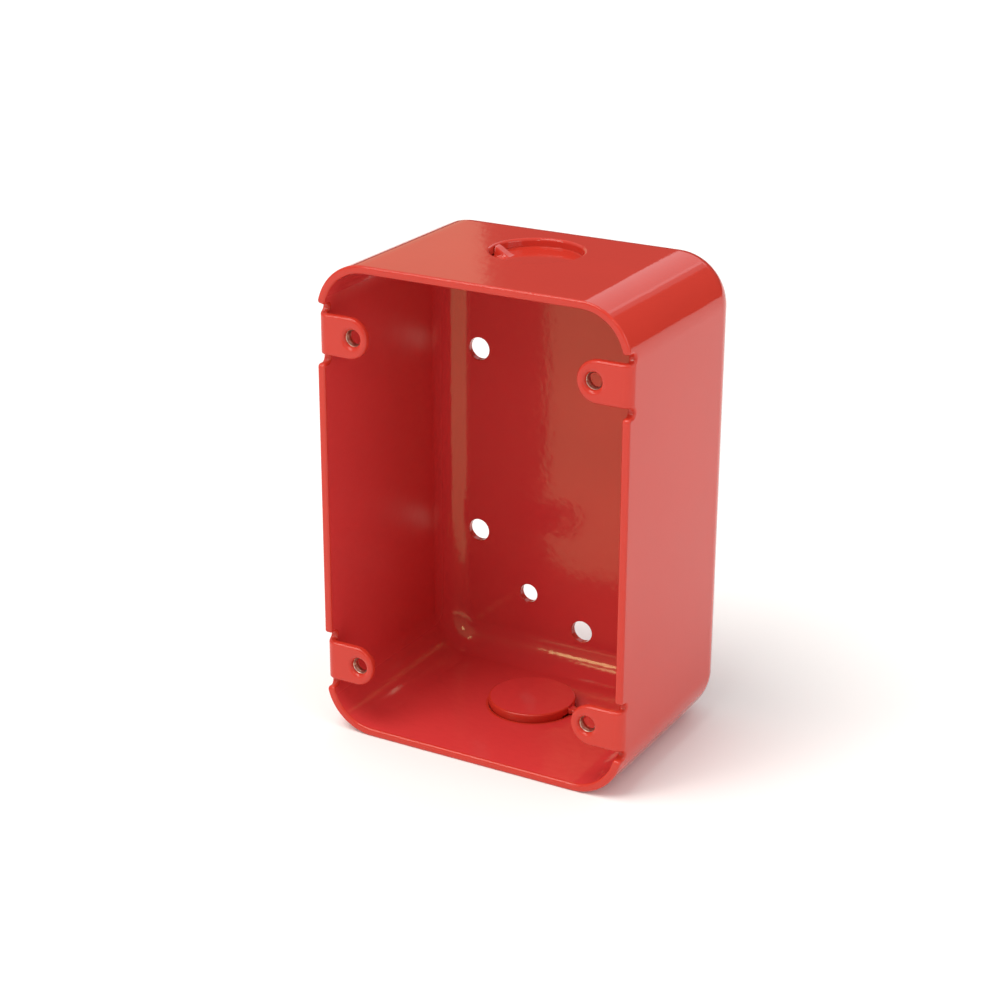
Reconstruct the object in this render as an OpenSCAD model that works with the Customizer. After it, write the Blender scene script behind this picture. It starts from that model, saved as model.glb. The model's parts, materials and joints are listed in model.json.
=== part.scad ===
// Surface back box for a wall horn strobe: one deep drawn sheet steel shell, open at the front,
// with four bent-in device ears and two conduit knockouts. Millimetres.
// +Z is up, +Y points into the wall and +X is right as seen from the front.
// The origin is the centre of the face that lies on the wall.

/* [Box] */
// Overall width
box_w = 82; // [80:0.5:100]
// Overall height
box_h = 120.65; // [110:0.05:150]
// Overall depth, wall face to front rim
box_d = 58.4; // [45:0.1:70]
// Sheet thickness
sheet_t = 2; // [1.2:0.1:2.5]
// Outside radius of the four upright corners
corner_r = 13; // [11:0.5:14]
// Outside radius where the walls turn into the back
back_r = 9.5; // [5:0.5:10.5]

/* [Device ears] */
// Ear height
ear_w = 10.2; // [8:0.1:12]
// Distance from the outside of the side wall to the ear's tip
ear_reach = 13.6; // [12:0.1:18]
// Outside radius of the ear's bend
ear_bend_r = 2.5; // [2.2:0.1:4]
// Step from the front rim back to the ear's front face
ear_set = 0.2; // [0:0.1:1]
// Ear centre height above and below the middle
ear_z = 42.2; // [40:0.1:43]
// Screw hole distance either side of the middle
ear_hole_x = 31.5; // [31:0.1:33]
// Screw hole radius
ear_hole_r = 2.08; // [1.8:0.02:2.3]
// Radius of the collar drawn out behind each screw hole
collar_r = 3.3; // [2.8:0.1:3.8]
// Length of that collar behind the ear
collar_len = 1.5; // [0.5:0.1:2.5]
// Width of the relief notch on each side of an ear
notch_w = 2.2; // [1.5:0.1:2.6]

/* [Knockouts] */
// Conduit hole radius, half inch trade size
ko_r = 11.1; // [10.9:0.05:11.3]
// Conduit hole centre behind the front rim
ko_setback = 32.5; // [28:0.5:36]
// Gap between the wall and the pushed-in slug
ko_gap = 0.3; // [0.2:0.05:0.5]
// Width of the tie that holds the slug
tie_w = 3; // [2:0.1:4]
// Distance from the conduit hole's edge to the bend line of the tie
tie_out = 1.2; // [1:0.1:2]

/* [Wall screw holes] */
// Radius of the larger screw holes
screw_r = 2.95; // [2.5:0.05:3.2]
// Radius of the small screw hole low on the left
small_screw_r = 2.5; // [2:0.05:2.9]
// Four holes beside the edges: distance either side of the middle
side_hole_x = 29.4; // [25:0.1:30]
// Four holes beside the edges: distance above and below the middle
side_hole_z = 25; // [20:0.5:30]
// Small hole: distance left of the middle
small_hole_x = 14.3; // [10:0.1:20]
// Small hole: distance below the middle
small_hole_z = 40; // [35:0.5:42]
// Lowest hole: distance right of the middle
low_hole_x = 1.5; // [-4:0.1:4]
// Lowest hole: distance below the middle
low_hole_z = 47.6; // [45:0.1:48]

/* [Hidden] */
$fn = 96;

half_w = box_w / 2;
half_h = box_h / 2;
core_w = box_w - 2 * corner_r;
core_h = box_h - 2 * corner_r;
ko_up = box_d - ko_setback;
slug_y = half_h - sheet_t - ko_gap - sheet_t / 2;
tie_x = -(ko_r + tie_out);
tie_r = sheet_t / 2;
tie_fit = 0.08;
saddle_w = 2.2;
bend_up = box_d - ear_set - ear_bend_r;
notch_r = notch_w / 2;
notch_up = bend_up + notch_r;
enamel = [0.72, 0.04, 0.05];

// Everything below is drawn lying on its back with the opening upwards:
// x stays, y is the upright direction and z is the distance from the wall.
// stand() then sets it against the wall.
module stand() {
    rotate([90, 0, 0]) children();
}

// Half a turn, so the bottom knockout's tie is on the right and the top one's on the left
module opposite() {
    rotate([0, 0, 180]) children();
}

// Section through a wall and the back, measured outwards from the edge of the flat middle
module wall_section() {
    square([corner_r - back_r, sheet_t]);
    translate([corner_r - back_r, back_r]) difference() {
        intersection() {
            circle(r = back_r);
            translate([0, -back_r]) square(back_r);
        }
        circle(r = back_r - sheet_t);
    }
    translate([corner_r - sheet_t, back_r]) square([sheet_t, box_d - back_r]);
}

// A quarter turn of the section makes each upright corner
module corner() {
    translate([half_w - corner_r, half_h - corner_r, 0])
        rotate_extrude(angle = 90) wall_section();
}

module side_wall() {
    translate([half_w - corner_r, core_h / 2, 0])
        rotate([90, 0, 0]) linear_extrude(height = core_h) wall_section();
}

module end_wall() {
    translate([-core_w / 2, half_h - corner_r, 0])
        rotate([90, 0, 90]) linear_extrude(height = core_w) wall_section();
}

module drawn_shell() {
    for (a = [0, 1], b = [0, 1])
        mirror([a, 0, 0]) mirror([0, b, 0]) corner();
    for (a = [0, 1]) {
        mirror([a, 0, 0]) side_wall();
        mirror([0, a, 0]) end_wall();
    }
    translate([-core_w / 2, -core_h / 2, 0]) cube([core_w, core_h, sheet_t]);
}

// Clearance cut in the rim for one ear and its two relief notches
module ear_cut() {
    translate([half_w - 2 * sheet_t, ear_z - ear_w / 2, bend_up])
        cube([3 * sheet_t, ear_w, box_d]);
    for (s = [-1, 1])
        translate([half_w - 2 * sheet_t, ear_z + s * (ear_w / 2 + notch_r), 0]) {
            translate([0, -notch_r, notch_up]) cube([3 * sheet_t, notch_w, box_d]);
            translate([0, 0, notch_up]) rotate([0, 90, 0])
                cylinder(h = 3 * sheet_t, r = notch_r);
        }
}

// Flat outline of an ear with its full round tip
module ear_outline() {
    tip = half_w - ear_reach + ear_w / 2;
    translate([tip, -ear_w / 2]) square([half_w - ear_bend_r - tip, ear_w]);
    translate([tip, 0]) circle(r = ear_w / 2);
}

module ear() {
    difference() {
        translate([0, ear_z, 0]) {
            translate([0, 0, box_d - ear_set - sheet_t])
                linear_extrude(height = sheet_t) ear_outline();
            translate([half_w - ear_bend_r, ear_w / 2, bend_up])
                rotate([90, 0, 0]) rotate_extrude(angle = 90)
                    translate([ear_bend_r - sheet_t, 0]) square([sheet_t, ear_w]);
            translate([ear_hole_x, 0, box_d - ear_set - sheet_t - collar_len])
                cylinder(h = collar_len, r = collar_r);
        }
        translate([ear_hole_x, ear_z, box_d - 3 * sheet_t - collar_len])
            cylinder(h = 4 * sheet_t + collar_len, r = ear_hole_r);
    }
}

// Saddle under the wall that the slug's tie bends in
module tie_saddle() {
    difference() {
        translate([tie_x - saddle_w, slug_y - tie_r / 2, ko_up - tie_w / 2])
            cube([saddle_w - tie_fit, half_h - sheet_t / 2 - slug_y + tie_r / 2, tie_w]);
        translate([tie_x, slug_y, ko_up - tie_w])
            cylinder(h = 2 * tie_w, r = tie_r + tie_fit);
    }
}

module conduit_hole() {
    translate([0, half_h - 2 * sheet_t, ko_up]) rotate([-90, 0, 0])
        cylinder(h = 4 * sheet_t, r = ko_r);
}

module back_hole(x, y, r) {
    translate([x, y, -sheet_t]) cylinder(h = 6 * sheet_t, r = r);
}

module box_shell() {
    color(enamel) stand() {
        difference() {
            drawn_shell();
            for (a = [0, 1], b = [0, 1])
                mirror([a, 0, 0]) mirror([0, b, 0]) ear_cut();
            for (b = [0, 1])
                mirror([0, b, 0]) conduit_hole();
            for (a = [-1, 1], b = [-1, 1])
                back_hole(a * side_hole_x, b * side_hole_z, screw_r);
            back_hole(-small_hole_x, -small_hole_z, small_screw_r);
            back_hole(low_hole_x, -low_hole_z, screw_r);
        }
        for (a = [0, 1], b = [0, 1])
            mirror([a, 0, 0]) mirror([0, b, 0]) ear();
        tie_saddle();
        opposite() tie_saddle();
    }
}

// Round slug pushed in by one sheet thickness and held at one edge by a tie
module slug() {
    translate([0, slug_y - sheet_t / 2, ko_up]) rotate([-90, 0, 0])
        cylinder(h = sheet_t, r = ko_r);
    translate([tie_x, slug_y - sheet_t / 2, ko_up - tie_w / 2])
        cube([tie_out + ko_r / 2, sheet_t, tie_w]);
    translate([tie_x, slug_y, ko_up - tie_w / 2])
        cylinder(h = tie_w, r = tie_r);
}

module top_knockout() {
    color(enamel) stand() slug();
}

module bottom_knockout() {
    color(enamel) stand() opposite() slug();
}

box_shell();
top_knockout();
bottom_knockout();
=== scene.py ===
import json
import math
from itertools import pairwise

import bmesh
import bpy
import numpy as np
from mathutils import Matrix, Vector
from mathutils.geometry import delaunay_2d_cdt


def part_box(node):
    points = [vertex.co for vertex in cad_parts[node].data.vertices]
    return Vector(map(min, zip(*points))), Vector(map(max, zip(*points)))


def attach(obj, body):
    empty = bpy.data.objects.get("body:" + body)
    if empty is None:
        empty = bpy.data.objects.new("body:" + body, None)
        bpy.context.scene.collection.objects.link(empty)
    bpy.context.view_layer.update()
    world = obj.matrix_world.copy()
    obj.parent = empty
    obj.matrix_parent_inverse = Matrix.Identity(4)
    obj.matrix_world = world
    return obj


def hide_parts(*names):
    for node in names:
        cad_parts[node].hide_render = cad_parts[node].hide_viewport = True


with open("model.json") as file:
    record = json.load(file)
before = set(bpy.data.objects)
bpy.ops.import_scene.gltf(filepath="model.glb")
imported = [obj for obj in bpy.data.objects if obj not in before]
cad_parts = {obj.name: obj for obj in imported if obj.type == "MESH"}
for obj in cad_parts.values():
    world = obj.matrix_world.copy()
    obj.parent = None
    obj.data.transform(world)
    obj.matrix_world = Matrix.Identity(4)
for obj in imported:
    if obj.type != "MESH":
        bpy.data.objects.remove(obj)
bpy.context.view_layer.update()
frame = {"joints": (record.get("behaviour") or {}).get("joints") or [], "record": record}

# Looks for the surface back box of a wall horn strobe: one drawn sheet steel shell and its two
# knockout slugs, in glossy red enamel. Lengths in the sheet metal code are in millimetres, and
# solid() turns them into metres. X is right, Y points into the wall, and Z is up.

MM = 0.001
QUARTER = math.pi / 2

# the two faces of a sheet, as signs along its outward normal
OUTER, INNER = 1, -1

# material slots of every piece; the inner faces' slot holds a lighter copy of the red enamel,
# painted light for the shaded inside
PAINT, BARE, INNER_PAINT_LIGHTENED = 0, 1, 2

# --- sizes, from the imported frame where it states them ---

low, high = (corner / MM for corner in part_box("box_shell"))
slug_low, slug_high = (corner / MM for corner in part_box("top_knockout"))
mounts = {mount["name"]: mount for mount in frame["record"]["mounts"]}
hinge_x = frame["joints"][0]["pos_m"][0] / MM


def place(name):
    """A mount's position in millimetres."""
    return Vector(mounts[name]["pos_m"]) / MM


WIDTH = high.x - low.x
HEIGHT = high.z - low.z
DEPTH = -low.y
SHEET = 2.0
HALF_SHEET = SHEET / 2
CORNER_R = 13.0
BACK_R = 9.5
CORE_W = WIDTH - 2 * CORNER_R
CORE_H = HEIGHT - 2 * CORNER_R
EDGE_R = 0.6

ear_bolts = mounts["device_screws"]["dims"]
EAR_HOLE_X = ear_bolts["spacing_x_mm"] / 2
EAR_Z = ear_bolts["spacing_y_mm"] / 2
EAR_HOLE_R = ear_bolts["hole_r_mm"]
EAR_HALF = 5.1
EAR_REACH = 13.6
EAR_SET = 0.2
EAR_BEND_R = 2.5
EAR_EDGE_R = 0.75
NOTCH_R = 1.1
RIM_CORNER_R = 0.9

# an ear's screw hole: rolled lip in front, thread, and the collar drawn out behind
EAR_RING_R = 3.2
EAR_LIP = 1.05
THREAD_PITCH = 0.79
THREAD_DEPTH = 0.36
COLLAR_R = 2.9
COLLAR_LEN = 1.5
COLLAR_CHAMFER = 0.15

KO_R = mounts["conduit_top"]["dims"]["r_mm"]
KO_UP = -place("conduit_top").y
KO_LIP = 0.75
KO_LIP_INSIDE = 0.12

# metal pushed up inside the box where a slug's tie leaves the wall
BOSS_START = 1.12
BOSS_LEN = 2.3
BOSS_HALF = 1.9
BOSS_UP = 1.7
BOSS_RISE = 0.35
BOSS_FALL = 1.5
BOSS_FLANK = 0.9

# a slug, its shear burr and its tie
SLUG_MIDDLE = (slug_low.z + slug_high.z) / 2
SLUG_EDGE_R = 0.45
BURR_UP = 0.4
BURR_START = 0.5
BURR_RISE = 0.8
TIE_HALF = 1.5
TIE_END_R = 0.9
TIE_THINNED = 0.75
TIE_THINS_OVER = 0.35
RAMP_START = 0.14
RAMP_RISE = 0.16
RAMP_END = 6.3
RAMP_UP = 2.15

side_bolts = mounts["wall_screws"]["dims"]
BACK_HOLES = [
    (
        i * side_bolts["spacing_x_mm"] / 2,
        j * side_bolts["spacing_y_mm"] / 2,
        side_bolts["hole_r_mm"],
    )
    for i in (-1, 1)
    for j in (-1, 1)
]
for hole in ("lower_hole_small", "lower_hole_large"):
    BACK_HOLES.append((place(hole).x, place(hole).z, mounts[hole]["dims"]["r_mm"]))
HOLE_LIP = 0.25

# --- mesh building: every corner carries the true surface normal ---

MERGE_DISTANCE = 4e-6
SHORTEST_EDGE = 1e-6
PROBE = 0.02
CLOSE = 0.01


def link(obj):
    bpy.context.scene.collection.objects.link(obj)
    return obj


def solid(name, faces, body):
    """A closed mesh from faces, each its (point, normal) corners and its material's index."""
    bm = bmesh.new()
    layer = bm.verts.layers.float_vector.new("true_normal")
    for corners, slot in faces:
        made = []
        for point, normal in corners:
            vertex = bm.verts.new(point * MM)
            vertex[layer] = normal
            made.append(vertex)
        bm.faces.new(made).material_index = slot
    bmesh.ops.remove_doubles(bm, verts=bm.verts, dist=MERGE_DISTANCE)
    bmesh.ops.dissolve_degenerate(bm, dist=SHORTEST_EDGE, edges=bm.edges)
    bmesh.ops.recalc_face_normals(bm, faces=bm.faces)
    for face in bm.faces:
        face.smooth = True
    mesh = bpy.data.meshes.new(name)
    bm.to_mesh(mesh)
    bm.free()
    true_normal = mesh.attributes["true_normal"]
    normals = np.zeros(len(mesh.vertices) * 3)
    true_normal.data.foreach_get("vector", normals)
    mesh.attributes.remove(true_normal)
    mesh.normals_split_custom_set_from_vertices(normals.reshape(-1, 3).tolist())
    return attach(link(bpy.data.objects.new(name, mesh)), body)


def spread(start, span, count):
    """Evenly spaced values, ends included."""
    return [start + span * k / count for k in range(count + 1)]


def arc(centre, radius, start, end, count):
    """Points on an arc, angles in degrees."""
    x, y = centre
    turns = [math.radians(angle) for angle in spread(start, end - start, count)]
    return [(x + radius * math.cos(a), y + radius * math.sin(a)) for a in turns]


def circle(centre, radius, count=72):
    return arc(centre, radius, 0, 360, count)[:-1]


def smooth(x):
    """Eases from 0 to 1."""
    x = min(max(x, 0.0), 1.0)
    return x * x * (3 - 2 * x)


def inside(points, loops):
    """Even-odd test of each 2D point against closed loops."""
    x, y = points[:, 0][:, None], points[:, 1][:, None]
    hit = np.zeros(len(points), int)
    for loop in loops:
        a = np.array(loop)
        b = np.roll(a, -1, axis=0)
        spans = (a[:, 1] > y) != (b[:, 1] > y)
        rise = np.where(b[:, 1] == a[:, 1], 1.0, b[:, 1] - a[:, 1])
        cross = a[:, 0] + (y - a[:, 1]) * (b[:, 0] - a[:, 0]) / rise
        hit += (spans & (x < cross)).sum(axis=1)
    return hit % 2 == 1


def fill(loops, guides):
    """Triangles inside the loops, with edges along the guide lines, and the region's border edges.
    A border edge comes as its two points with the outward direction at each."""
    points, edges = [], []
    for line, closed in [(loop, True) for loop in loops] + [(guide, False) for guide in guides]:
        first = len(points)
        points += [Vector(p) for p in line]
        edges += list(pairwise(range(first, len(points))))
        if closed:
            edges.append((len(points) - 1, first))
    found, _, faces, *_ = delaunay_2d_cdt(points, edges, [], 0, 1e-7)
    found = np.array([tuple(p) for p in found])
    faces = np.array(faces)
    faces = faces[inside(found[faces].mean(axis=1), loops)]
    directed = {(a, b) for f in faces.tolist() for a, b in zip(f, f[1:] + f[:1])}
    border = [(a, b) for a, b in directed if (b, a) not in directed]
    outward = {}
    for a, b in border:
        along = Vector(found[b] - found[a]).normalized()
        for end in (a, b):
            outward.setdefault(end, Vector((0, 0)))
            outward[end] += Vector((along.y, -along.x))
    ends = [[(Vector(found[i]), outward[i].normalized()) for i in edge] for edge in border]
    return [[Vector(found[i]) for i in f] for f in faces], ends


def rounded_edge(radius, inner_radius=None, count=6):
    """Profile of a sheet edge, from its outer face to its inner one: each point is how far out it
    is, how far along the surface normal, its normal in those directions, and its material."""
    points = []
    for r, side in ((radius, OUTER), (inner_radius or radius, INNER)):
        quarter = [
            (
                radius - r + r * math.sin(a),
                side * (HALF_SHEET - r + r * math.cos(a)),
                (math.sin(a), side * math.cos(a)),
                PAINT,
            )
            for a in spread(0, QUARTER, count)
        ]
        if r < radius:
            quarter.insert(0, (0.0, side * HALF_SHEET, (0.0, float(side)), PAINT))
        points += quarter if side == OUTER else quarter[::-1]
    return points


def sheet(surface, triangles, border, edge_at, lift=None):
    """Both faces of a sheet over a filled region, and its edges. edge_at(point) is None at a
    joint, or a function that gives the profile at a point and the centre of a round hole.
    lift(point, side) is how far a face is raised off the sheet there."""

    def skin(p, side):
        middle, n = surface(p)
        if lift is None:
            return middle + n * side * HALF_SHEET, n * side
        here = lift(p, side)
        if here == 0 and lift(p + Vector((PROBE, PROBE)), side) == 0:
            return middle + n * side * HALF_SHEET, n * side
        raised = []
        for step in ((PROBE, 0), (-PROBE, 0), (0, PROBE), (0, -PROBE)):
            q = p + Vector(step)
            near, near_n = surface(q)
            raised.append(near + near_n * side * (HALF_SHEET + lift(q, side)))
        normal = (raised[0] - raised[1]).cross(raised[2] - raised[3]).normalized()
        if normal.dot(n * side) < 0:
            normal = -normal
        return middle + n * side * (HALF_SHEET + here), normal

    faces = []
    for triangle in triangles:
        for side in (OUTER, INNER):
            slot = INNER_PAINT_LIGHTENED if side == INNER else PAINT
            faces.append(([skin(p, side) for p in triangle], slot))
    for (a, out_a), (b, out_b) in border:
        edge = edge_at((a + b) / 2)
        if edge is None:
            continue
        profile_of, centre = edge
        rows = []
        for p, out in ((a, out_a), (b, out_b)):
            if centre is not None:
                out = (Vector(centre) - p).normalized()
            row = []
            for outward, up, (n_out, n_up), slot in profile_of(p):
                here, n = surface(p + out * outward)
                ahead = (surface(p + out * (outward + CLOSE))[0] - here).normalized()
                row.append((here + n * up, (ahead * n_out + n * n_up).normalized(), slot))
            if lift is not None:
                row[0] = (*skin(p, OUTER), row[0][2])
            rows.append(row)
        for (p0, p1), (q0, q1) in zip(pairwise(rows[0]), pairwise(rows[1])):
            faces.append(([corner[:2] for corner in (p0, p1, q1, q0)], p0[2]))
    return faces


# --- the shell's walls, unrolled: s runs round the box and v runs from the back to the rim ---

MID_CORNER_R = CORNER_R - HALF_SHEET
CORNER_LEN = MID_CORNER_R * QUARTER
CORNER_STEPS = 20
STRAIGHTS = [CORE_H / 2, CORE_W, CORE_H, CORE_W, CORE_H / 2]
AROUND = sum(STRAIGHTS) + 4 * CORNER_LEN
LEFT_MIDDLE = AROUND / 2
TOP_MIDDLE = CORE_H / 2 + CORNER_LEN + CORE_W / 2
RIGHT, UP, LEFT, DOWN = Vector((1, 0, 0)), Vector((0, 0, 1)), Vector((-1, 0, 0)), Vector((0, 0, -1))
LEGS = [(RIGHT, UP), (UP, LEFT), (LEFT, DOWN), (DOWN, RIGHT), (RIGHT, UP)]
INTO_WALL = Vector((0, 1, 0))

BEND_UP = DEPTH - EAR_SET - EAR_BEND_R
MID_BEND_R = EAR_BEND_R - HALF_SHEET
BEND_LEN = MID_BEND_R * QUARTER
BEND_STEPS = 8
EAR_TIP_V = BEND_UP + BEND_LEN + EAR_REACH - EAR_BEND_R
EAR_HOLE_V = BEND_UP + BEND_LEN + WIDTH / 2 - EAR_BEND_R - EAR_HOLE_X
EARS_S = [EAR_Z, LEFT_MIDDLE - EAR_Z, LEFT_MIDDLE + EAR_Z, AROUND - EAR_Z]

KO_S = [TOP_MIDDLE, AROUND - TOP_MIDDLE]


def corner_stops():
    """Where the walls are divided round their four corners."""
    stops = []
    start = 0.0
    for length in STRAIGHTS[:4]:
        start += length
        stops += list(np.linspace(start, start + CORNER_LEN, CORNER_STEPS + 1))
        start += CORNER_LEN
    return stops


CORNER_STOPS = corner_stops()
STOPS = sorted({0.0, TOP_MIDDLE, LEFT_MIDDLE, AROUND - TOP_MIDDLE, AROUND, *CORNER_STOPS})


def plan(s):
    """Point on the mid surface seen from the front, and the way out of the box there."""
    point = Vector((WIDTH / 2 - HALF_SHEET, 0, 0))
    for index, (out, along) in enumerate(LEGS):
        if s <= STRAIGHTS[index] or index == 4:
            return point + along * s, out
        point = point + along * STRAIGHTS[index]
        s -= STRAIGHTS[index]
        if s <= CORNER_LEN:
            turn = s / MID_CORNER_R
            way = out * math.cos(turn) + along * math.sin(turn)
            return point + (way - out) * MID_CORNER_R, way
        point = point + (along - out) * MID_CORNER_R
        s -= CORNER_LEN


def from_nearest_ear(s):
    return min(abs(s - ear) for ear in EARS_S)


def wall(p):
    """Mid surface point and outward normal at unrolled (s, v), with the ears bent inwards."""
    s, v = p
    point, out = plan(min(max(s, 0.0), AROUND))
    over = v - BEND_UP
    if over <= 0 or from_nearest_ear(s) > EAR_HALF + NOTCH_R:
        return point - INTO_WALL * v, out
    turn = min(over / MID_BEND_R, QUARTER)
    flat = max(over - BEND_LEN, 0.0)
    inwards = MID_BEND_R * (1 - math.cos(turn)) + flat
    forward = BEND_UP + MID_BEND_R * math.sin(turn)
    normal = out * math.cos(turn) - INTO_WALL * math.sin(turn)
    return point - out * inwards - INTO_WALL * forward, normal


def edge_radius(p):
    """Edges are rounder on the ears than on the rim."""
    if from_nearest_ear(p[0]) > EAR_HALF:
        return EDGE_R
    return EDGE_R + (EAR_EDGE_R - EDGE_R) * smooth((p[1] - BEND_UP) / BEND_LEN)


def rim_outline():
    """Unrolled front edge of the shell from s = 0 round to the end, inset by the edge radius."""
    notch_v = BEND_UP + NOTCH_R
    rim_x = EAR_HALF + 2 * NOTCH_R + RIM_CORNER_R
    half = arc((0, EAR_TIP_V - EAR_HALF), EAR_HALF - EAR_EDGE_R, 90, 0, 24)
    bends = spread(BEND_UP + BEND_LEN + 0.05, -BEND_LEN, BEND_STEPS)[:-1]
    half += [(EAR_HALF - edge_radius((EARS_S[0], v)), v) for v in bends if v > notch_v]
    half += arc((EAR_HALF + NOTCH_R, notch_v), NOTCH_R + EDGE_R, 180, 360, 24)
    half += arc((rim_x, DEPTH - RIM_CORNER_R), RIM_CORNER_R - EDGE_R, 180, 90, 6)
    ear_line = [(-x, v) for x, v in half[:0:-1]] + half
    line = [(0.0, DEPTH - EDGE_R)]
    for ear in EARS_S:
        line += [(ear + x, v) for x, v in ear_line]
    return line + [(AROUND, DEPTH - EDGE_R)]


def tie_boss(p, side):
    """Height of the boss by each slug's tie. Seen along the wall from outside, s runs leftwards
    on the top and rightwards on the bottom."""
    if side == OUTER:
        return 0.0
    for s in KO_S:
        along = abs(p.x - s) + hinge_x - BOSS_START
        across = abs(p.y - KO_UP)
        if 0 < along < BOSS_LEN and across < BOSS_HALF and p.x > s:
            rise = smooth(along / BOSS_RISE) * smooth((BOSS_LEN - along) / BOSS_FALL)
            return BOSS_UP * rise * smooth((BOSS_HALF - across) / BOSS_FLANK)
    return 0.0


def threaded_collar():
    """Profile of an ear's screw hole: rolled lip, threads and the collar behind the ear."""
    lip_r = EAR_HOLE_R + EAR_LIP
    profile = [(0.0, HALF_SHEET, (0.0, 1.0), PAINT)]
    for a in spread(0, QUARTER, 8):
        out = EAR_RING_R - lip_r + EAR_LIP * math.sin(a)
        up = HALF_SHEET - EAR_LIP + EAR_LIP * math.cos(a)
        profile.append((out, up, (math.sin(a), math.cos(a)), PAINT))

    bore = EAR_RING_R - EAR_HOLE_R
    outside = EAR_RING_R - COLLAR_R
    up = HALF_SHEET - EAR_LIP - 0.05
    bottom = -HALF_SHEET - COLLAR_LEN
    chamfer_up = bottom + COLLAR_CHAMFER
    while up - THREAD_PITCH > bottom + 0.1:
        profile += [
            (bore, up, (0.8, 0.6), BARE),
            (bore + THREAD_DEPTH, up - 0.45 * THREAD_PITCH, (1.0, 0.0), BARE),
            (bore, up - 0.9 * THREAD_PITCH, (0.8, -0.6), BARE),
        ]
        up -= THREAD_PITCH
    profile += [
        (bore, chamfer_up, (1.0, 0.0), BARE),
        (bore - 0.1, bottom, (0.3, -0.95), PAINT),
        (outside + COLLAR_CHAMFER, bottom, (-0.3, -0.95), PAINT),
        (outside, chamfer_up, (-1.0, 0.0), PAINT),
        (outside, -HALF_SHEET - 0.3, (-1.0, 0.0), PAINT),
        (outside * 0.6, -HALF_SHEET - 0.08, (-0.7, -0.7), PAINT),
        (0.0, -HALF_SHEET, (0.0, -1.0), PAINT),
    ]
    return profile


def wall_faces():
    outline = rim_outline() + [(s, BACK_R) for s in reversed(STOPS)]
    knockouts = [circle((s, KO_UP), KO_R + KO_LIP, 120) for s in KO_S]
    screws = [circle((s, EAR_HOLE_V), EAR_RING_R) for s in EARS_S]
    guides = [[(s, BACK_R), (s, DEPTH - EDGE_R)] for s in CORNER_STOPS]
    half = EAR_HALF + NOTCH_R / 2
    for ear in EARS_S:
        rows = spread(BEND_UP, BEND_LEN, BEND_STEPS)
        guides += [[(ear - half, v), (ear + half, v)] for v in rows]
    for s in KO_S:
        start = s - hinge_x + BOSS_START - PROBE
        columns = spread(start, BOSS_LEN + 2 * PROBE, 16)
        guides += [[(c, KO_UP - BOSS_HALF), (c, KO_UP + BOSS_HALF)] for c in columns]
        rows = [KO_UP + BOSS_HALF * k / 10 for k in range(-10, 11)]
        guides += [[(columns[0], v), (columns[-1], v)] for v in rows]
    triangles, border = fill([outline, *knockouts, *screws], guides)

    def edge_at(p):
        if p.y < BACK_R + CLOSE or p.x < CLOSE or p.x > AROUND - CLOSE:
            return None
        for s in KO_S:
            if (p - Vector((s, KO_UP))).length < KO_R + 2 * KO_LIP:
                return lambda p: rounded_edge(KO_LIP, KO_LIP_INSIDE), (s, KO_UP)
        for s in EARS_S:
            if (p - Vector((s, EAR_HOLE_V))).length < EAR_RING_R + 2 * CLOSE:
                return lambda p: threaded_collar(), (s, EAR_HOLE_V)
        return lambda p: rounded_edge(edge_radius(p)), None

    return sheet(wall, triangles, border, edge_at, tie_boss)


# --- the back: a fillet from the walls down to a flat panel with its screw holes ---

MID_BACK_R = BACK_R - HALF_SHEET
PANEL_EDGE_ANGLE = 75
PANEL_RING_ANGLES = (80, 85, 90)
FILLET_STEPS = 10


def fillet(s, turn):
    """Mid surface and outward normal on the fillet, from the wall (0) to the flat back (90)."""
    point, out = plan(s)
    inwards = MID_BACK_R * (1 - math.cos(turn))
    back = BACK_R - MID_BACK_R * math.sin(turn)
    normal = out * math.cos(turn) + INTO_WALL * math.sin(turn)
    return point - out * inwards - INTO_WALL * back, normal


def panel(p):
    """Mid surface and outward normal of the back at (x, z), rising into the fillet round it."""
    core = Vector((max(abs(p.x) - CORE_W / 2, 0.0), max(abs(p.y) - CORE_H / 2, 0.0)))
    beyond = max(core.length - (CORNER_R - BACK_R), 0.0)
    way = core.normalized() if beyond else Vector((0.0, 0.0))
    tilt = beyond / MID_BACK_R
    upright = math.sqrt(1 - tilt * tilt)
    back = BACK_R - MID_BACK_R * upright
    across, along = math.copysign(way.x, p.x), math.copysign(way.y, p.y)
    return Vector((p.x, -back, p.y)), Vector((across * tilt, upright, along * tilt))


def panel_ring(angle):
    """The line round the panel where the fillet has turned by angle, in degrees."""
    points = [fillet(s, math.radians(angle))[0] for s in STOPS[:-1]]
    return [(p.x, p.z) for p in points]


def back_faces():
    faces = []
    turns = spread(0, math.radians(PANEL_EDGE_ANGLE), FILLET_STEPS)
    for s0, s1 in pairwise(STOPS):
        for t0, t1 in pairwise(turns):
            corners = [fillet(s, t) for s, t in ((s0, t0), (s1, t0), (s1, t1), (s0, t1))]
            for side in (OUTER, INNER):
                slot = INNER_PAINT_LIGHTENED if side == INNER else PAINT
                placed = [(m + n * side * HALF_SHEET, n * side) for m, n in corners]
                faces.append((placed, slot))

    rings = [panel_ring(angle) for angle in PANEL_RING_ANGLES]
    guides = [ring + ring[:1] for ring in rings]
    holes = [circle((x, z), r + HOLE_LIP) for x, z, r in BACK_HOLES]
    triangles, border = fill([panel_ring(PANEL_EDGE_ANGLE), *holes], guides)

    def edge_at(p):
        for x, z, r in BACK_HOLES:
            if (p - Vector((x, z))).length < r + HOLE_LIP + 2 * CLOSE:
                return lambda p: rounded_edge(HOLE_LIP), (x, z)
        return None

    return faces + sheet(panel, triangles, border, edge_at)


# --- the knockout slugs, laid out with x along the tie and y across it ---


def slug_surface(p):
    return Vector((p.x, p.y - KO_UP, SLUG_MIDDLE)), UP


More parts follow.
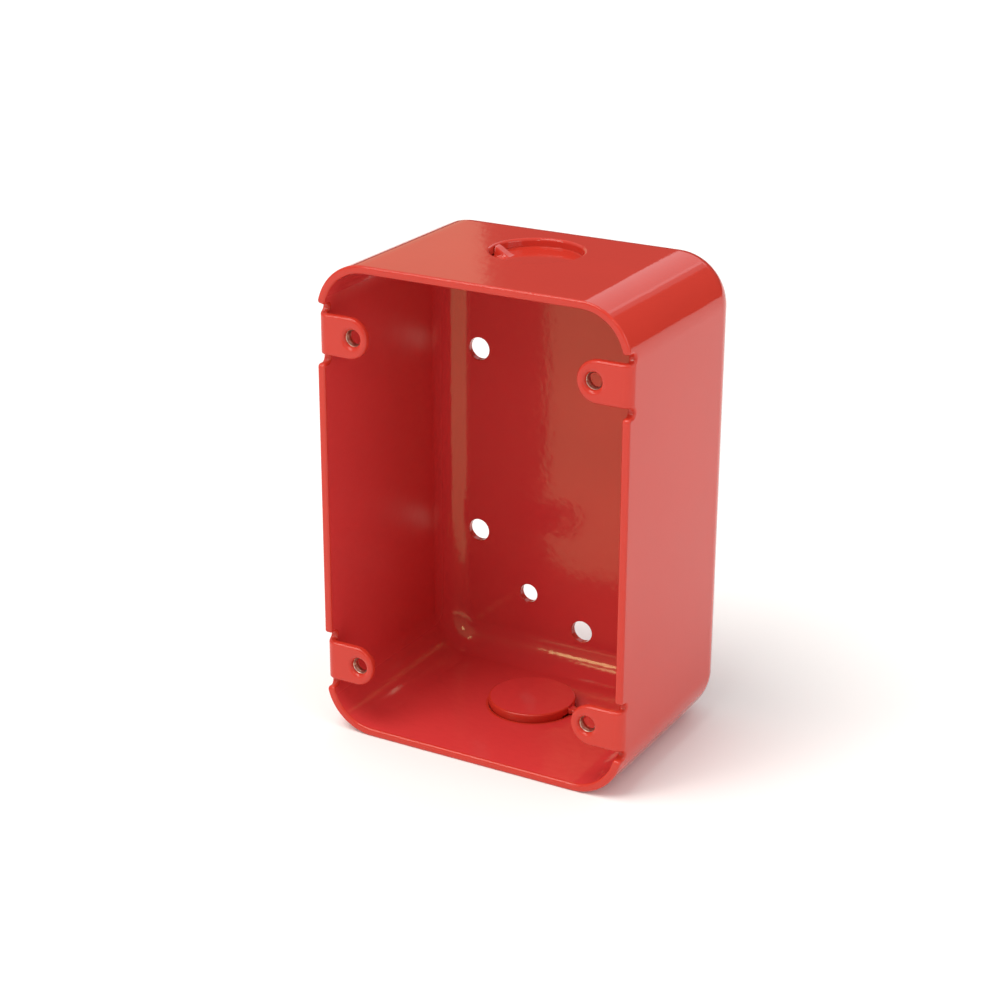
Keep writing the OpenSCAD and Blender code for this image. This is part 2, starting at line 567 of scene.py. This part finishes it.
def slug_edge_radius(x):
    """The tie's end is a full round, so that it turns in its seat."""
    return SLUG_EDGE_R + (TIE_END_R - SLUG_EDGE_R) * smooth((-KO_R - 0.1 - x) / 0.7)


def tie_lift(p, side):
    """Outside, the stretched tie ramps up from the slug to the wall. Inside, it is thinned."""
    if side == INNER:
        return -TIE_THINNED * smooth((-KO_R + TIE_THINS_OVER - p.x) / TIE_THINS_OVER)
    past_edge = p.x + KO_R
    if past_edge < RAMP_START or p.x > -RAMP_END + 1.2:
        return 0.0
    ramp = RAMP_UP * (1 - smooth(past_edge / (KO_R - RAMP_END)))
    ramp *= smooth((past_edge - RAMP_START) / RAMP_RISE)
    return ramp * smooth((TIE_HALF + 0.25 - abs(p.y)) / 0.7)


def slug_edge(p):
    """Rounded inside the box, with a small shear burr outside that stops short of the tie."""
    r = slug_edge_radius(p.x)
    rounded = rounded_edge(r)
    share = smooth((p.x + KO_R - BURR_START) / BURR_RISE)
    burr = BURR_UP * share
    burred = [
        (0.0, HALF_SHEET, (0.0, 1.0)),
        (0.4 * r, HALF_SHEET, (-0.1, 1.0)),
        (0.62 * r, HALF_SHEET + 0.5 * burr, (-0.5, 0.85)),
        (0.85 * r, HALF_SHEET + burr, (0.1, 1.0)),
        (0.97 * r, HALF_SHEET + burr - 0.06, (0.9, 0.4)),
    ]
    plain = [rounded[index] for index in (0, 1, 2, 4, 6)]
    profile = []
    for (o0, u0, (a0, b0), slot), (o1, u1, (a1, b1)) in zip(plain, burred):
        way = (a0 + (a1 - a0) * share, b0 + (b1 - b0) * share)
        profile.append((o0 + (o1 - o0) * share, u0 + (u1 - u0) * share, way, slot))
    thin = 1 + tie_lift(p, INNER) / HALF_SHEET
    return profile + [(out, up * thin, way, slot) for out, up, way, slot in rounded if up < 0]


def slug_faces():
    half = TIE_HALF - SLUG_EDGE_R
    r = KO_R - SLUG_EDGE_R
    start = math.degrees(math.asin(half / r))
    outline = arc((0, 0), r, 180 - start, start - 180, 128)
    xs = [-KO_R - 0.05 - 0.15 * k for k in range(1, 9)]
    xs = [x for x in xs if x > hinge_x] + [hinge_x]
    tie = [(x, TIE_HALF - slug_edge_radius(x)) for x in xs]
    outline += [(x, -y) for x, y in tie] + tie[::-1]

    # a fine grid under the tie's ramp, and finer columns where it rises out of the edge
    rows = [0.1 * k for k in range(-18, 19)]
    columns = [-KO_R + 0.7 + 0.25 * k for k in range(22)]
    steep = [-KO_R + 0.04 * k for k in range(-1, 11)]
    guides = [[(x, rows[0]), (x, rows[-1])] for x in columns]
    guides += [[(columns[0], y), (columns[-1], y)] for y in rows]
    guides += [[(x, -0.95), (x, 0.95)] for x in steep]
    triangles, border = fill([outline], guides)
    return sheet(slug_surface, triangles, border, lambda p: (slug_edge, None), tie_lift)


def half_turn(faces):
    """The bottom slug is the top one turned half a turn about Y."""
    def turn(v):
        return Vector((-v.x, v.y, -v.z))
    return [([(turn(p), turn(n)) for p, n in corners], slot) for corners, slot in faces]


# --- materials ---

WHITE = (1, 1, 1)


def add(tree, kind, inputs, **settings):
    """A new shader node. Each input is a value, or another node's output to link from."""
    node = tree.nodes.new("ShaderNode" + kind)
    for key, value in settings.items():
        setattr(node, key, value)
    for key, value in inputs.items():
        if isinstance(value, bpy.types.NodeSocket):
            tree.links.new(value, node.inputs[key])
        else:
            node.inputs[key].default_value = value
    return node


def new_material(name, **values):
    """A material whose shader sockets, named with _ for spaces, hold the values."""
    mat = bpy.data.materials.new(name)
    mat.use_nodes = True
    shader = mat.node_tree.nodes["Principled BSDF"]
    for key, value in values.items():
        shader.inputs[key.replace("_", " ")].default_value = value
    return mat, shader


def enamel(name, red, ior, gloss_range, peel_height, painted_reflection_tint=WHITE, dull_sides=0.0):
    """Glossy red paint. dull_sides is how much rougher it is on the side walls. The specular tint
    gives its reflections a painted warm tone where it isn't white.
    """
    mat, shader = new_material(name, IOR=ior, Specular_Tint=(*painted_reflection_tint, 1))
    tree = mat.node_tree
    where = add(tree, "TexCoord", {}).outputs["Object"]

    def noise(scale, detail):
        inputs = {"Scale": scale, "Detail": detail, "Vector": where}
        return add(tree, "TexNoise", inputs).outputs["Fac"]

    darker, lighter = ((*(c * share for c in red), 1) for share in (0.95, 1.05))
    inputs = {"A": darker, "B": lighter, "Factor": noise(35, 3)}
    tint = add(tree, "Mix", inputs, data_type="RGBA")
    tree.links.new(tint.outputs["Result"], shader.inputs["Base Color"])

    inputs = {"To Min": gloss_range[0], "To Max": gloss_range[1], "Value": noise(90, 2)}
    roughness = add(tree, "MapRange", inputs).outputs["Result"]
    if dull_sides:
        split = add(tree, "SeparateXYZ", {"Vector": where})
        from_middle = add(tree, "Math", {0: split.outputs["X"]}, operation="ABSOLUTE")
        wall_x = (WIDTH / 2 - SHEET) * MM
        inputs = {
            "From Min": wall_x - 1.8 * MM,
            "From Max": wall_x - 0.2 * MM,
            "To Max": dull_sides,
            "Value": from_middle.outputs[0],
        }
        dull = add(tree, "MapRange", inputs, interpolation_type="SMOOTHSTEP")
        roughness = add(tree, "Math", {0: roughness, 1: dull.outputs["Result"]}).outputs[0]
    tree.links.new(roughness, shader.inputs["Roughness"])

    inputs = {"Distance": 0.00018, "Strength": 0.5, "Height": noise(42, 1)}
    dents = add(tree, "Bump", inputs).outputs["Normal"]
    inputs = {"Distance": peel_height, "Strength": 0.5, "Height": noise(480, 2), "Normal": dents}
    peel = add(tree, "Bump", inputs).outputs["Normal"]
    tree.links.new(peel, shader.inputs["Normal"])
    return mat


RED = (0.56, 0.037, 0.022)
# the inner faces get a lighter, bluer copy of the same red enamel, so that the shaded interior
# reads brighter: painted light, not a second paint
RED_INSIDE_PAINTED_LIGHTER = (0.62, 0.045, 0.046)
shell_enamel = enamel("red_enamel", RED, 1.39, (0.06, 0.11), 0.00003)
# the inside's reflections are tinted warm yellow: a painted reflection tone standing in for warm
# surroundings
inside_enamel_painted_lighter = enamel("red_enamel_inside", RED_INSIDE_PAINTED_LIGHTER, 1.46, (0.09, 0.13), 0.0001,
                       painted_reflection_tint=(1, 0.95, 0.45), dull_sides=0.25)
slug_enamel = enamel("red_enamel_slug", RED, 1.42, (0.08, 0.14), 0.00005)
bare_steel, _ = new_material("bare_thread_steel", Base_Color=(0.78, 0.7, 0.6, 1), Metallic=1,
                             Roughness=0.3)

# --- the three pieces ---

shell = solid("box_shell_skin", wall_faces() + back_faces(), "shell")
for paint in (shell_enamel, bare_steel, inside_enamel_painted_lighter):
    shell.data.materials.append(paint)
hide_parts("box_shell")

for node, body, slug_mesh in (
    ("top_knockout", "top_slug", slug_faces()),
    ("bottom_knockout", "bottom_slug", half_turn(slug_faces())),
):
    slug = solid(node + "_skin", slug_mesh, body)
    for paint in (slug_enamel, slug_enamel, inside_enamel_painted_lighter):
        slug.data.materials.append(paint)
    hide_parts(node)

# --- floor ---

FLOOR_HALF = 3.5

floor_mesh = bpy.data.meshes.new("floor")
around = ((-1, -1), (1, -1), (1, 1), (-1, 1))
floor_corners = [(i * FLOOR_HALF, j * FLOOR_HALF, low.z * MM) for i, j in around]
floor_mesh.from_pydata(floor_corners, [], [(0, 1, 2, 3)])
paper, _ = new_material("pale_floor", Base_Color=(0.955, 0.96, 0.975, 1), Roughness=0.7)
floor_mesh.materials.append(paper)
link(bpy.data.objects.new("floor", floor_mesh))

# --- sky: brighter overhead, and fading to dim behind the box near the horizon ---

world = bpy.data.worlds.new("studio")
world.use_nodes = True
sky = world.node_tree
direction = add(sky, "TexCoord", {}).outputs["Generated"]
split = add(sky, "SeparateXYZ", {"Vector": direction})
across, up = split.outputs["Y"], split.outputs["Z"]
lean = add(sky, "Math", {0: across, 1: -0.6, 2: up}, operation="MULTIPLY_ADD")
inputs = {"From Min": 0.02, "From Max": 0.14, "To Min": 0.25, "To Max": 0.9,
          "Value": lean.outputs[0]}
rise = add(sky, "MapRange", inputs, interpolation_type="SMOOTHSTEP")
height = add(sky, "Math", {0: up, 1: 0.65, 2: 0.3}, operation="MULTIPLY_ADD")
inputs = {0: rise.outputs["Result"], 1: height.outputs[0]}
glow = add(sky, "Math", inputs, operation="MULTIPLY")
background = sky.nodes["Background"]
sky.links.new(glow.outputs[0], background.inputs["Strength"])
background.inputs["Color"].default_value = (1, 0.985, 0.955, 1)
bpy.context.scene.world = world

# --- lights ---


def new_light(name, kind, way, colour):
    """A light that shines on the object from direction way."""
    light = bpy.data.lights.new(name, kind)
    light.color = colour
    obj = link(bpy.data.objects.new(name, light))
    obj.rotation_mode = "QUATERNION"
    obj.rotation_quaternion = Vector(way).to_track_quat("Z", "Y")
    return obj, light


def softbox(name, way, distance, size, radiance, colour=WHITE):
    """A rectangular light in direction way from the object, as bright as radiance."""
    obj, light = new_light(name, "AREA", way, colour)
    light.shape = "RECTANGLE"
    light.size, light.size_y = size
    light.energy = radiance * math.pi * size[0] * size[1]
    obj.location = Vector(way).normalized() * distance
    obj.visible_camera = False


def from_angles(left_of_back, elevation):
    a, e = math.radians(left_of_back), math.radians(elevation)
    return (-math.sin(a) * math.cos(e), math.cos(a) * math.cos(e), math.sin(e))


WARM = (1, 0.86, 0.58)
WARM_WHITE = (1, 0.95, 0.86)
COOL_WHITE = (0.95, 0.97, 1)

# the cards behind the box are what its top and upper right corner reflect
softbox("back_left_card", from_angles(45.7, 13), 3.0, (1.6, 0.9), 0.5, WARM)
softbox("back_card", from_angles(9, 31), 3.0, (1.45, 1.2), 0.93, COOL_WHITE)
softbox("back_card_edge", from_angles(-8, 31), 3.0, (0.4, 1.1), 0.45, COOL_WHITE)
softbox("front_left_key", (-0.455, -0.721, 0.522), 1.2, (0.34, 0.2), 9.0, WARM_WHITE)
softbox("front_right_key", (0.342, -0.781, 0.532), 1.2, (0.12, 0.2), 9.0, WARM_WHITE)

# the large overhead source is far away, so that the whole floor is evenly lit
_, overhead = new_light("overhead", "SUN", (-0.23, -0.37, 0.9), (1, 0.97, 0.9))
overhead.energy = 1.7
overhead.angle = math.radians(38)

softbox("right_fill", (1, -0.1, 0.35), 1.5, (1.0, 0.8), 2.2)

# --- camera ---

AZIMUTH = math.radians(29.242)
ELEVATION = math.radians(21.359)
ROLL = math.radians(0.237)
DISTANCE = 0.51234
AIM_RIGHT = 0.00748
AIM_UP = 0.00774
FOCAL_PIXELS = 2198.2
IMAGE_PIXELS = 1000
SENSOR = 36.0

toward = Vector((-math.sin(AZIMUTH) * math.cos(ELEVATION),
                 math.cos(AZIMUTH) * math.cos(ELEVATION),
                 -math.sin(ELEVATION)))
level_right = Vector((math.cos(AZIMUTH), math.sin(AZIMUTH), 0))
level_up = level_right.cross(toward)
camera_right = level_right * math.cos(ROLL) + level_up * math.sin(ROLL)
camera_up = level_up * math.cos(ROLL) - level_right * math.sin(ROLL)
aim = Vector((0, low.y * MM, 0)) + camera_right * AIM_RIGHT + camera_up * AIM_UP

camera_data = bpy.data.cameras.new("camera")
camera_data.sensor_width = SENSOR
camera_data.lens = FOCAL_PIXELS / IMAGE_PIXELS * SENSOR
camera_data.clip_start = 0.01
camera = link(bpy.data.objects.new("camera", camera_data))
camera.location = aim - toward * DISTANCE
camera.rotation_mode = "QUATERNION"
axes = Matrix((camera_right, camera_up, -toward)).transposed()
camera.rotation_quaternion = axes.to_quaternion()
bpy.context.scene.camera = camera
bpy.context.scene.view_settings.view_transform = "Standard"
